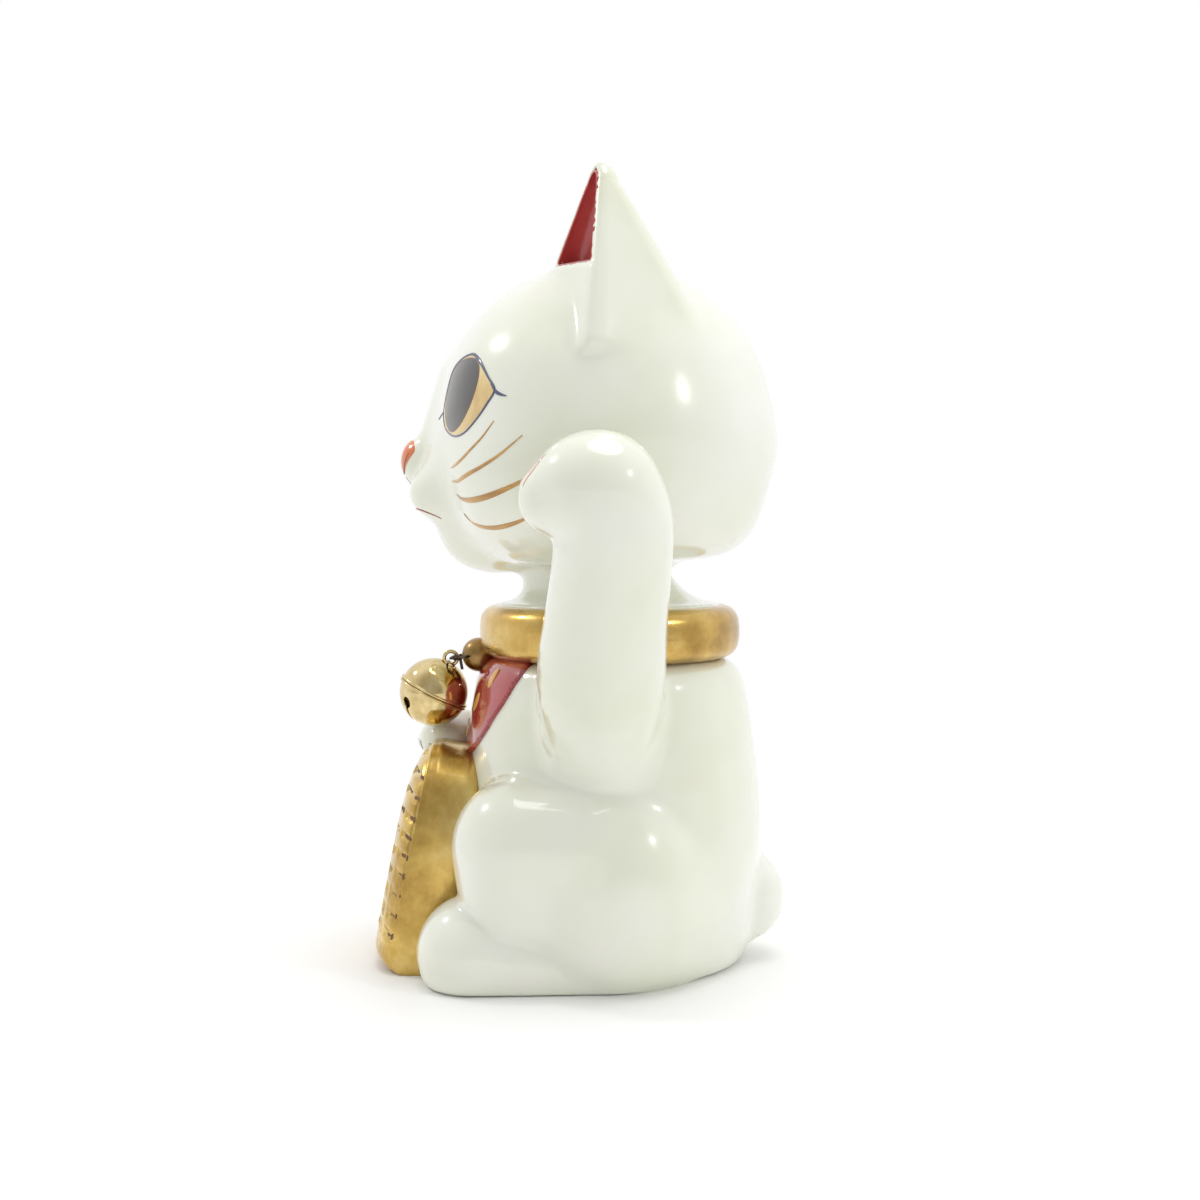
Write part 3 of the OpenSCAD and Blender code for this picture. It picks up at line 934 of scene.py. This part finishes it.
def build_paw_lines():
    """Faint toe lines on the raised paw, and darker ones on the paw that holds the coin."""
    toes = paw_lines(paw + vec(-0.7, -9, -1.4), raised_arm_field, (-4.2, -0.4, 3.5),
                     [(76, 0.1), (62, 0.3), (46, 0.32), (30, 0.26), (16, 0.08)], 22)
    strokes("raised_paw_lines", toes, 0.08, blush)
    claws = paw_lines(vec(-1, -36.4, 48.6), resting_arm_field, (-8.2, -4.6, -1),
                      [(6, 0.06), (0, 0.16), (-8, 0.18), (-14, 0.06)], 20, 0.12)
    strokes("resting_paw_lines", claws, 0.1, line_brown)


build_eyes()
build_face()
build_paw_lines()


# ---------------- gold coin

# Half width, and reach up and down from the height of the middle, of an oval of this power
COIN_HALF, COIN_HEIGHT, COIN_FOOT, COIN_MIDDLE, COIN_POWER = 20.5, 31.0, 45.0, 20.5, 2.8
COIN_THICK, COIN_DOME = 11.0, 6.35
# Punched slots: gaps between rows and along a row, and how far in from the edge a row begins
ROW_GAP, SLOT_GAP, SLOT_INSET = 4.4, 5.6, 2.2


def coin_frame():
    """Foot point, across, up and outward directions of the leaning coin."""
    lean = math.radians(11)
    turn = math.radians(3)
    across = vec(math.cos(turn), math.sin(turn), 0)
    level = vec(math.sin(turn), -math.cos(turn), 0)
    up = -level * math.sin(lean) + vec(0, 0, math.cos(lean))
    out = level * math.cos(lean) + vec(0, 0, math.sin(lean))
    return vec((coin_low[0] + coin_high[0]) / 2 + 0.5, coin_high[1] - 19.4, 0), across, up, out


def coin_outline(count):
    """Oval outline, cut off level at the bottom with soft corners, as (across, up) from the foot."""
    a = np.arange(count) * 2 * math.pi / count
    c, s = np.cos(a), np.sin(a)
    x = COIN_HALF * np.sign(c) * np.abs(c) ** (2 / COIN_POWER)
    reach = np.where(s < 0, COIN_FOOT, COIN_HEIGHT)
    y = COIN_MIDDLE + reach * np.sign(s) * np.abs(s) ** (2 / COIN_POWER)
    return np.stack([x, (y + np.sqrt(y * y + 3)) / 2], 1)


def row_edge(row):
    """How much further in a row of slots begins, as punched by hand."""
    return 0.3 * np.sin(row * 2.1)


def row_wave(x, row):
    """How far a row of slots strays up or down, as punched by hand."""
    return 0.3 * np.sin(x * 0.5 + row)


def punch_marks(x, y, rho):
    """Depth of the rows of short punched slots, which are set out inwards from the coin's edge."""
    slot_half, row_half = 1.9, 0.85
    row = np.round(y / ROW_GAP)
    off = (y - row * ROW_GAP - row_wave(x, row)) / row_half
    inset = np.abs(x) / np.maximum(rho, 0.05) - np.abs(x) - SLOT_INSET - row_edge(row)
    near = (inset / SLOT_GAP - np.round(inset / SLOT_GAP)) * SLOT_GAP / slot_half
    return np.exp(-off ** 4) * np.clip(1.4 - near ** 4, 0, 1) * (np.abs(x) > 4)


def coin_face(x, y):
    """Height of the coin's face over its rim plane: dome, raised rim, groove and punched dashes."""
    tall = (y - COIN_MIDDLE) / np.where(y < COIN_MIDDLE, COIN_FOOT, COIN_HEIGHT)
    rho = (np.abs(x / COIN_HALF) ** COIN_POWER + np.abs(tall) ** COIN_POWER) ** (1 / COIN_POWER)
    dome = COIN_DOME * np.sqrt(np.clip(1 - (rho / 0.985) ** 3.3, 0, 1))
    rim = 0.55 * np.exp(-((rho - 0.978) / 0.016) ** 2) - 0.3 * np.exp(-((rho - 0.945) / 0.012) ** 2)
    edge = -0.6 * np.clip((rho - 0.985) / 0.015, 0, 1) ** 2
    low = 1 - np.clip(y / 4.5, 0, 1)
    roll = -4.2 * (1 - np.sqrt(np.clip(1 - low ** 2, 0, 1)))
    inside = np.clip((0.935 - rho) / 0.02, 0, 1) * np.clip((y - 4) / 3, 0, 1)
    return dome + rim + edge + roll - 0.7 * inside * punch_marks(x, y, rho)


def build_slots(foot, across, up, out):
    """Painted shade: dark brown strokes laid in the bottom of each punched slot, standing in for the shade
    that falls there.
    """
    lines = []
    along = np.linspace(-1, 1, 7)
    half_width = 0.75 * np.sqrt(np.clip(1 - along ** 4, 0.05, 1))
    for row in range(2, 11):
        y = row * ROW_GAP
        tall = (y - COIN_MIDDLE) / (COIN_FOOT if y < COIN_MIDDLE else COIN_HEIGHT)
        half = COIN_HALF * (1 - abs(tall) ** COIN_POWER) ** (1 / COIN_POWER)
        first = half - SLOT_INSET - row_edge(row)
        middles = [first - column * SLOT_GAP for column in range(3)]
        for middle in [s * m for m in middles if m >= 5 for s in (-1, 1)]:
            x = middle + 1.4 * math.copysign(1, middle) * along
            yy = y + row_wave(x, row)
            z = coin_face(x, yy)
            slope = (coin_face(x + 0.6, yy) - coin_face(x - 0.6, yy)) / 1.2
            points = foot + np.outer(x, across) + np.outer(yy, up) + np.outer(z, out)
            normal = unit(out[None] - np.outer(slope, across))
            lines.append((points, normal, half_width))
    # the strokes are painted shade in the slots
    strokes("koban_slot_shade", lines, 0.06, painted_slot_shade)


def build_coin():
    """Thick domed oval plate with a raised rim and a punched face."""
    foot, across, up, out = coin_frame()
    count = 360
    outline = coin_outline(count)
    centre = vec(0, 24)
    brim = coin_face(outline[:, 0], outline[:, 1])
    rows = []
    back = ((0, 0), (0, 0.3), (0, 0.6), (0, 0.84), (0, 0.91), (0.25, 0.95), (0.9, 0.978), (2.2, 0.994))
    for z, s in back:
        rows.append(np.column_stack([(outline - centre) * s + centre, np.full(count, z - COIN_THICK)]))
    for t in np.linspace(0, 1, 12):
        depth = (-COIN_THICK + 3.4) * (1 - t) + brim * t
        rows.append(np.column_stack([outline, depth]))
    steps = list(1 - np.linspace(0.004, 0.13, 28)) + list(np.linspace(0.862, 0.0, 62))
    for s in steps:
        flat = (outline - centre) * s + centre
        rows.append(np.column_stack([flat, coin_face(flat[:, 0], flat[:, 1])]))
    local = np.concatenate(rows)
    points = foot + np.outer(local[:, 0], across) + np.outer(local[:, 1], up) + np.outer(local[:, 2], out)
    points[:, 2] = np.maximum(points[:, 2], 0)
    faces = grid_faces(len(rows), count)
    tidy_mesh(new_object("koban", points, faces, coin_gold, node="koban"))
    build_slots(foot, across, up, out)


# ---------------- collar, bib

def lathe(profile, centre, count=160, wobble=None):
    """Closed ring faces and points from a closed profile of (radius, height)."""
    points = []
    for i in range(count):
        a = 2 * math.pi * i / count
        for radius, z in profile:
            r = radius + (wobble(a, z) if wobble else 0)
            points.append((centre[0] + r * math.cos(a), centre[1] + r * math.sin(a), centre[2] + z))
    return np.array(points), grid_faces(count, len(profile), True)


def build_collar():
    """Gold band with a rounded section, a little uneven as brushed lustre is."""
    outer = collar_high[0]
    height = collar_high[2] - collar_low[2]
    inner, corner = 22.7, 3.9

    def bend(start, end, middle_z):
        turns = np.radians(np.linspace(start, end, 9))
        return [(outer - corner + corner * math.cos(t), middle_z + corner * math.sin(t)) for t in turns]

    profile = [(inner, 0.1)] + bend(-90, 0, corner)
    for z in np.linspace(corner + 0.8, height - corner - 0.8, 4):
        profile.append((outer + 0.12 * math.sin(math.pi * z / height), z))
    profile += bend(0, 90, height - corner) + [(inner, height - 0.1)]

    def wobble(a, z):
        return 0.06 * math.sin(3 * a + 0.4 * z) + 0.04 * math.sin(7 * a - 0.6 * z)

    points, faces = lathe(profile, (0, axis_y, collar_low[2]), wobble=wobble)
    tidy_mesh(new_object("collar", points, faces, band_gold, node="collar"))


def build_bib():
    """Rounded bib that lies on the chest, its edges rolled down to the glaze, with brushed gold dabs."""
    radius, middle, thick = 33, vec(0, axis_y, 0), 1.15
    per_degree = math.pi / 180 * radius
    side = [(46, 71.2), (47.5, 68), (45.2, 65), (40.9, 61.4), (34.8, 57.4), (28.4, 53.4), (20.5, 49.8),
            (11, 47.6)]
    knots = [(a * per_degree, z) for a, z in side] + [(0, bib_foot + 0.1)]
    knots += [(-a * per_degree, z) for a, z in reversed(side)]
    knots += [(-22 * per_degree, 71.6), (22 * per_degree, 71.6)]
    place = around(radius, middle, torso_field)
    decal("bib", place, knots, thick, bib_red, 0.6, 1.5, node="bib", sunk=0.4)
    on_bib = around(radius, middle, lambda p: torso_field(p) - (thick - 0.03))
    dabs = [(30.3, 66.2, 27, 1.0, 2.4), (17.6, 60.2, 34, 1.15, 2.7), (4.5, 53.4, 12, 1.1, 2.4)]
    dabs += [(-a, z, -tilt, wide, tall) for a, z, tilt, wide, tall in dabs]
    for number, (a, z, tilt, wide, tall) in enumerate(dabs):
        t = math.radians(-tilt)
        across, along = vec(math.cos(t), math.sin(t)), vec(-math.sin(t), math.cos(t))
        oval = []
        for turn in np.arange(10) * math.pi / 5:
            point = across * wide * math.cos(turn) + along * tall * math.sin(turn)
            oval.append((a * per_degree + point[0], z + point[1]))
        decal(f"bib_dab_{number + 1}", on_bib, oval, 0.22, dot_gold, 0.25, 0.7, sunk=0.3)


build_coin()
build_collar()
build_bib()


# ---------------- wire and bell

def sweep(path, radius, sides=12, closed=False):
    """Tube points and faces along a path."""
    path = np.array(path, float)
    ahead = ahead_of(path, closed)
    side = np.cross(ahead[0], vec(0.2, 0.3, 1))
    points = []
    for p, t in zip(path, ahead):
        side = unit(side - t * (side @ t))
        third = np.cross(t, side)
        for k in range(sides):
            a = 2 * math.pi * k / sides
            points.append(p + radius * (side * math.cos(a) + third * math.sin(a)))
    return np.array(points), tube_faces(len(path), sides, closed)


def helix(a, b, radius, turns, phase, count):
    """Points that wind round the line from a to b."""
    axis = unit(b - a)
    first = unit(np.cross(axis, vec(1, 0.3, 0.2)))
    second = np.cross(axis, first)
    out = []
    for i in range(count):
        t = i / (count - 1)
        w = 2 * math.pi * turns * t + phase
        out.append(a + (b - a) * t + radius * (first * math.cos(w) + second * math.sin(w)))
    return out


loop_centre = vec(0, loop_high[1] - 2, loop_high[2] - 2)
bell_tilt = math.radians(26.7)
bell_axis = vec(0, math.sin(bell_tilt), math.cos(bell_tilt))
bell_side, bell_front = vec(1, 0, 0), vec(0, math.cos(bell_tilt), -math.sin(bell_tilt))
bell_r = 8.0
bell_centre = loop_centre - (bell_r + 0.95) * bell_axis
BRASS_SHEET = 0.55


def build_wire():
    """Loop of dark wire through the boss and the bell's ring, its ends twisted together."""
    hole_y, hole_z = boss_low[1] + 1.5, (boss_low[2] + boss_high[2]) / 2 - 0.2
    ring = loop_centre
    half = [
        (0, hole_y, hole_z), (2, hole_y, hole_z), (3.6, hole_y, hole_z), (4.3, hole_y - 0.25, hole_z),
        (4.3, hole_y - 1.1, hole_z - 0.1), (3.4, hole_y - 2.5, hole_z - 0.3),
        (2.2, ring[1] + 0.3, ring[2] + 0.1), (1.2, ring[1], ring[2])]
    back = [(-x, y, z) for x, y, z in reversed(half[1:])]
    main = spline(half + [(0, ring[1], ring[2])] + back, 5, closed=True)
    knot = vec(3.4, hole_y - 1.6, hole_z - 0.25)
    tail = knot + vec(0.45, 0.5, -2.6)
    parts = [sweep(main, 0.3, 12, True)]
    for phase in (0, math.pi):
        parts.append(sweep(helix(knot, tail, 0.2, 2.5, phase, 40), 0.19, 8))
    wrap_start = vec(4.0, hole_y - 1.3, hole_z - 0.1)
    wrap_end = vec(2.6, ring[1] + 0.9, ring[2] + 0.15)
    parts.append(sweep(helix(wrap_start, wrap_end, 0.42, 4, 0, 60), 0.17, 8))
    points, faces = join(parts)
    wire = new_object("bell_wire", points, faces, wire_metal, "bell_link", "bell_wire")
    tidy_mesh(wire, 0.001)


def ball_patch(count, low_angle, high_angle, rows):
    """Unit-sphere grid between two angles from the axis, in the bell's own directions."""
    a = np.linspace(low_angle, high_angle, rows)
    b = np.arange(count) * 2 * math.pi / count
    aa, bb = np.meshgrid(a, b, indexing="ij")
    ball = np.stack([np.sin(aa) * np.cos(bb), np.sin(aa) * np.sin(bb), np.cos(aa)], 2).reshape(-1, 3)
    return ball, np.array(grid_faces(rows, count))


def to_world(local):
    return bell_centre + local @ np.array([bell_side, bell_front, bell_axis])


def bead(radius, height, thick, count=160):
    """Ring of round section about the bell's axis."""
    path = []
    for i in range(count):
        a = 2 * math.pi * i / count
        path.append((radius * math.cos(a), radius * math.sin(a), height))
    points, faces = sweep(path, thick, 12, True)
    return to_world(points), faces


def pressed_half(name, ball, faces, lip_height):
    """Brass sheet over a patch of the bell's ball, with a rolled lip."""
    count = len(ball)
    faces = [tuple(map(int, f)) for f in faces]
    every = faces + [tuple(count + i for i in reversed(f)) for f in faces]
    every += [(b, a, count + a, count + b) for a, b in boundary_edges(faces)]
    both = np.concatenate([ball * bell_r, ball * (bell_r - BRASS_SHEET)])
    points, all_faces = join([(to_world(both), every), bead(bell_r + 0.12, lip_height, 0.33)])
    tidy_mesh(new_object(name, points, all_faces, brass, "bell", name), 0.001)


def open_slit(ball, faces):
    """Cuts the slit and its two round end holes out of the lower half."""
    turn, drop = math.radians(49), math.radians(33)
    across = ball @ vec(math.cos(turn), math.sin(turn), 0) * bell_r
    along = ball @ vec(-math.sin(turn), math.cos(turn), 0) * bell_r
    below = ball[:, 2] * bell_r + bell_r * math.sin(drop)
    slit = np.maximum(np.abs(across) - 0.55, below)
    for s in (-1, 1):
        gap = np.stack([across, along - s * bell_r * math.cos(drop), below], 1)
        slit = np.minimum(slit, np.linalg.norm(gap, axis=1) - 1.4)
    kept, kept_faces = clip_faces(ball, faces, -slit)
    return unit(kept), kept_faces


def build_bell():
    """Two pressed brass halves with rolled lips, a slit between two round holes, and the ring on top."""
    seam, pole = 0.012, 0.004
    pressed_half("bell_upper_shell", *ball_patch(160, pole, math.pi / 2 - seam, 44), 0.36)
    lower = ball_patch(320, math.pi / 2 + seam, math.pi - pole, 110)
    pressed_half("bell_lower_shell", *open_slit(*lower), -0.36)
    turns = np.arange(64) * 2 * math.pi / 64
    ring = [loop_centre + 1.55 * vec(0, math.cos(a), math.sin(a)) for a in turns]
    foot = [(1.5, -0.2), (1.45, 0.06), (1.1, 0.16), (0.5, 0.2), (0.5, -0.2)]
    foot_points, foot_faces = lathe([(r, bell_r + z) for r, z in foot], (0, 0, 0), 32)
    points, faces = join([sweep(ring, 0.45, 14, True), (to_world(foot_points), foot_faces)])
    tidy_mesh(new_object("bell_loop", points, faces, brass, "bell", "bell_loop"), 0.001)


def dress(node, material):
    """Gives a carried-over CAD part its material."""
    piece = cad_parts[node]
    piece.data.materials.clear()
    piece.data.materials.append(material)


build_wire()
build_bell()
dress("bell_boss", boss_gold)
dress("bell_pellet", steel)


# ---------------- stage

def fade_to_white(tree, shader):
    """Lets the floor run out into plain white, so that it has no horizon."""
    length = tree.nodes.new("ShaderNodeVectorMath")
    length.operation = "LENGTH"
    tree.links.new(add_node(tree, "TexCoord").outputs["Object"], length.inputs[0])
    far = add_node(tree, "MapRange", Value=length.outputs["Value"], From_Min=0.08, From_Max=0.22)
    far.interpolation_type = "SMOOTHSTEP"
    white = add_node(tree, "Emission", Color=grey(1))
    mix = add_node(tree, "MixShader", Fac=far.outputs["Result"])
    tree.links.new(shader.outputs["BSDF"], mix.inputs[1])
    tree.links.new(white.outputs["Emission"], mix.inputs[2])
    tree.links.new(mix.outputs["Shader"], tree.nodes["Material Output"].inputs["Surface"])


def make_floor():
    """Pale floor that fades out round the figurine."""
    size = 3.0
    corners = [(-size, -size, 0), (size, -size, 0), (size, size, 0), (-size, size, 0)]
    mesh = bpy.data.meshes.new("floor")
    mesh.from_pydata(corners, [], [(0, 1, 2, 3)])
    floor = bpy.data.objects.new("floor", mesh)
    bpy.context.scene.collection.objects.link(floor)
    material, shader = principled("pale_floor", Roughness=0.6, Base_Color=grey(0.95))
    fade_to_white(material.node_tree, shader)
    mesh.materials.append(material)


def make_surroundings():
    """White all round, dimmer on the camera's side."""
    world = bpy.data.worlds.new("studio")
    bpy.context.scene.world = world
    world.use_nodes = True
    tree = world.node_tree
    background = tree.nodes["Background"]
    background.inputs["Color"].default_value = grey(1)
    where = add_node(tree, "TexCoord").outputs["Generated"]
    split = add_node(tree, "SeparateXYZ", Vector=where)
    side = add_node(tree, "MapRange", Value=split.outputs["X"], From_Min=-0.3, From_Max=1.0, To_Min=1.0,
                    To_Max=0.47)
    side.interpolation_type = "SMOOTHSTEP"
    tree.links.new(side.outputs["Result"], background.inputs["Strength"])


def area_light(name, place, size, power):
    """Round lamp that is aimed at the middle of the figurine."""
    light = bpy.data.lights.new(name, "AREA")
    light.shape = "DISK"
    light.size = size
    light.energy = power
    lamp = bpy.data.objects.new(name, light)
    lamp.location = place
    direction = Vector((0, 0, 0.09)) - Vector(place)
    lamp.rotation_euler = direction.to_track_quat("-Z", "Y").to_euler()
    bpy.context.scene.collection.objects.link(lamp)


def make_camera():
    """Looks along -X at the cat's left side from 0.35 m, a little above its middle."""
    distance = 0.346
    view_width = 0.2808
    data = bpy.data.cameras.new("camera")
    data.sensor_width = 36
    data.lens = data.sensor_width * distance / view_width
    camera = bpy.data.objects.new("camera", data)
    camera.location = (distance, 0, 0.0995)
    aim = Vector((0, 0, 0.083)) - camera.location
    camera.rotation_euler = aim.to_track_quat("-Z", "Y").to_euler()
    bpy.context.scene.collection.objects.link(camera)
    bpy.context.scene.camera = camera


make_floor()
make_surroundings()
area_light("front_lamp", (-0.17, -0.68, 0.67), 0.08, 1.1)
area_light("rear_lamp", (0.43, 0.68, 0.5), 0.07, 1.0)
area_light("top_lamp", (0.05, 0.1, 0.9), 0.6, 2.6)
make_camera()
bpy.context.scene.view_settings.view_transform = "Standard"
